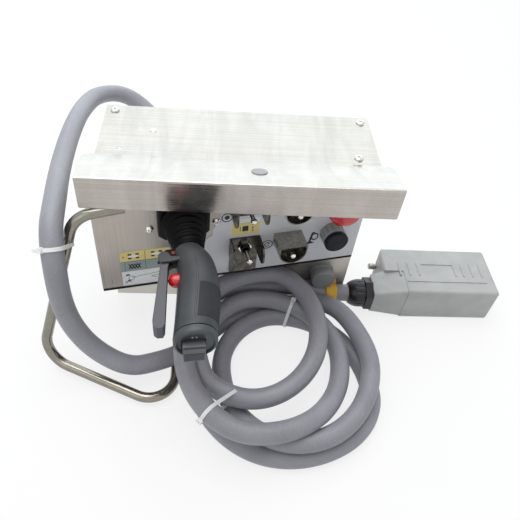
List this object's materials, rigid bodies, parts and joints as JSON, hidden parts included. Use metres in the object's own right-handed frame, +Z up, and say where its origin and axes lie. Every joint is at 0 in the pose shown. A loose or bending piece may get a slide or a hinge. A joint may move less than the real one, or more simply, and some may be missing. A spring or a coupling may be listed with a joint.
{
  "type": "scissor lift control box",
  "caption": "Wired hand control box of a scissor lift: steel box with rain visor, trigger joystick, guarded toggles, stop button, guard rod and coiled cable with a plug.",
  "frame": {"origin": "centre of the steel box's bottom face, on the floor", "axes": "+X to the right of someone who faces the panel, +Y away from them, +Z up"},
  "size_m": [0.5895, 0.5179, 0.2575],
  "materials": {
    "steel": "brushed stainless sheet",
    "bright_steel": "bright plated",
    "overlay_grey": "printed film",
    "hood_grey": "moulded",
    "shaft_steel": "turned",
    "black_plastic": "moulded, fine grain",
    "boot_rubber": "moulded rubber",
    "grip_charcoal": "moulded, fine grain",
    "grip_rubber": "ribbed rubber",
    "trigger_grey": "moulded",
    "rocker_grey": "moulded",
    "signal_red": "glossy moulded",
    "device_grey": "moulded",
    "board_green": "solder resist",
    "strip_grey": "moulded",
    "cable_grey": "extruded sheath",
    "plug_grey": "powder coated casting",
    "insert_cream": "moulded"
  },
  "bodies": {
    "base": {"enclosure": "steel", "front_panel": "steel", "rain_hood": "steel", "guard_rod": "steel", "cover_brackets": "steel", "cover_screws": "bright_steel", "cover_rivet": "bright_steel", "joystick_screws": "bright_steel", "pivot_pin": "bright_steel", "toggle_nuts": "bright_steel", "ear_guards": "bright_steel", "ring_guards": "bright_steel", "insert_screws": "bright_steel", "connector_pegs": "bright_steel", "board_spacers": "bright_steel", "switch_overlay": "overlay_grey", "visor_plug": "hood_grey", "joystick_housing": "black_plastic", "boot_flange": "black_plastic", "toggle_cases": "black_plastic", "contact_blocks": "black_plastic", "device_nuts": "black_plastic", "connector_gland": "black_plastic", "connector_gland_nut": "black_plastic", "rear_gland": "black_plastic", "rear_gland_nut": "black_plastic", "boot_bellows": "boot_rubber", "button_bezel": "device_grey", "estop_collar": "device_grey", "blanking_plug": "device_grey", "blanking_nut": "device_grey", "circuit_board": "board_green", "terminal_strip": "strip_grey", "cable_lead": "cable_grey", "cable_coil": "cable_grey", "cable_tail": "cable_grey", "connector_hood": "plug_grey", "connector_insert": "insert_cream"},
    "joystick": {"lever_shaft": "shaft_steel", "grip_body": "grip_charcoal", "grip_pad": "grip_rubber", "grip_cap": "grip_charcoal", "cap_dots": "rocker_grey", "rocker_pin": "bright_steel", "grip_led": "signal_red", "trigger_pin": "bright_steel"},
    "trigger": {"trigger_lever": "trigger_grey"},
    "plunger": {"trigger_button": "signal_red"},
    "rocker": {"thumb_rocker": "rocker_grey"},
    "toggle_left_low": {"lever_left_low": "bright_steel"},
    "toggle_left_high": {"lever_left_high": "bright_steel"},
    "toggle_right_low": {"lever_right_low": "bright_steel"},
    "toggle_right_high": {"lever_right_high": "bright_steel"},
    "push_button": {"button_cap": "black_plastic"},
    "estop_plunger": {"estop_stem": "device_grey"},
    "estop_head": {"estop_mushroom": "signal_red"}
  },
  "joints": [
    {"name": "joystick_tilt", "type": "hinge", "parent": "base", "child": "joystick", "pos_m": [-0.06326, -0.07338, 0.191], "axis": [0, 0, 1], "range_deg": [-20, 20], "stiffness_Nm_per_rad": 2, "deforming": ["boot_bellows"]},
    {"name": "trigger_squeeze", "type": "hinge", "parent": "joystick", "child": "trigger", "pos_m": [-0.07349, -0.15877, 0.191], "axis": [0, 0, 1], "range_deg": [0, 5], "stiffness_Nm_per_rad": 1.5, "springref_deg": -3.44},
    {"name": "plunger_slide", "type": "slide", "parent": "joystick", "child": "plunger", "axis": [0.9936, 0.1132, 0], "range_m": [0, 0.002]},
    {"name": "rocker_tilt", "type": "hinge", "parent": "joystick", "child": "rocker", "pos_m": [-0.0377, -0.24326, 0.191], "axis": [0.9936, 0.1132, 0], "range_deg": [-12, 12], "stiffness_Nm_per_rad": 0.3},
    {"name": "toggle_left_low_tilt", "type": "hinge", "parent": "base", "child": "toggle_left_low", "pos_m": [0.00931, -0.07266, 0.133], "axis": [0.9763, 0.2164, 0], "range_deg": [-12, 12], "stiffness_Nm_per_rad": 0.1},
    {"name": "toggle_left_high_tilt", "type": "hinge", "parent": "base", "child": "toggle_left_high", "pos_m": [0.00931, -0.07266, 0.195], "axis": [0.9763, 0.2164, 0], "range_deg": [-12, 12], "stiffness_Nm_per_rad": 0.1},
    {"name": "toggle_right_low_tilt", "type": "hinge", "parent": "base", "child": "toggle_right_low", "pos_m": [0.06007, -0.0614, 0.133], "axis": [0.9763, 0.2164, 0], "range_deg": [-12, 12], "stiffness_Nm_per_rad": 0.1},
    {"name": "toggle_right_high_tilt", "type": "hinge", "parent": "base", "child": "toggle_right_high", "pos_m": [0.06007, -0.0614, 0.195], "axis": [0.9763, 0.2164, 0], "range_deg": [-12, 12], "stiffness_Nm_per_rad": 0.1},
    {"name": "button_press", "type": "slide", "parent": "base", "child": "push_button", "axis": [-0.2164, 0.9763, 0], "range_m": [0, 0.0022], "stiffness_N_per_m": 1500},
    {"name": "estop_press", "type": "slide", "parent": "base", "child": "estop_plunger", "axis": [-0.2164, 0.9763, 0], "range_m": [0, 0.0045]},
    {"name": "estop_twist", "type": "hinge", "parent": "estop_plunger", "child": "estop_head", "pos_m": [0.11788, -0.06805, 0.192], "axis": [0.2164, -0.9763, 0], "range_deg": [0, 30], "stiffness_Nm_per_rad": 0.2}
  ],
  "couplings": [
    {"joint": "plunger_slide", "follows": "trigger_squeeze", "m_per_rad": 0.022}
  ]
}
